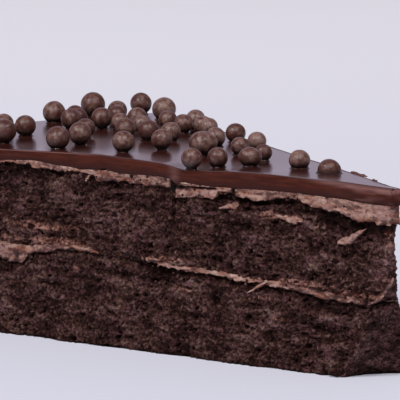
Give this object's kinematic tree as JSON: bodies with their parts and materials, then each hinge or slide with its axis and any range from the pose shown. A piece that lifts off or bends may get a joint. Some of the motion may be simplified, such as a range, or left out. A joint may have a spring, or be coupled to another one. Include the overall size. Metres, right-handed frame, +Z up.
{
  "type": "slice of chocolate layer cake",
  "caption": "Wedge-shaped slice of chocolate layer cake with a buttercream filling, glazed top and rim, and chocolate pearls scattered on top.",
  "frame": {"origin": "middle of the base that the slice stands on", "axes": "+X from the outer rim to the tip, +Y from the front cut to the back cut, +Z up through the layers"},
  "size_m": [0.1424, 0.0752, 0.0494],
  "materials": {
    "sponge": "moist open crumb, matte",
    "buttercream": "soft satin, smeared by the knife",
    "glaze": "poured, mirror gloss on top and satin at the cut",
    "pearl": "satin with a faint bloom"
  },
  "bodies": {
    "root": {"sponge_bottom": "sponge", "filling": "buttercream", "sponge_top": "sponge", "buttercream_coat": "buttercream", "glaze": "glaze", "pearl_01": "pearl", "pearl_02": "pearl", "pearl_03": "pearl", "pearl_04": "pearl", "pearl_05": "pearl", "pearl_06": "pearl", "pearl_07": "pearl", "pearl_08": "pearl", "pearl_09": "pearl", "pearl_10": "pearl", "pearl_11": "pearl", "pearl_12": "pearl", "pearl_13": "pearl", "pearl_14": "pearl", "pearl_15": "pearl", "pearl_16": "pearl", "pearl_17": "pearl", "pearl_18": "pearl", "pearl_19": "pearl", "pearl_20": "pearl", "pearl_21": "pearl", "pearl_22": "pearl", "pearl_23": "pearl", "pearl_24": "pearl", "pearl_25": "pearl", "pearl_26": "pearl", "pearl_27": "pearl", "pearl_28": "pearl", "pearl_29": "pearl", "pearl_30": "pearl", "pearl_31": "pearl", "pearl_32": "pearl", "pearl_33": "pearl", "pearl_34": "pearl", "pearl_35": "pearl", "pearl_36": "pearl", "pearl_37": "pearl", "pearl_38": "pearl", "pearl_39": "pearl", "pearl_40": "pearl", "pearl_41": "pearl", "pearl_42": "pearl", "pearl_43": "pearl", "pearl_44": "pearl"}
  },
  "joints": []
}
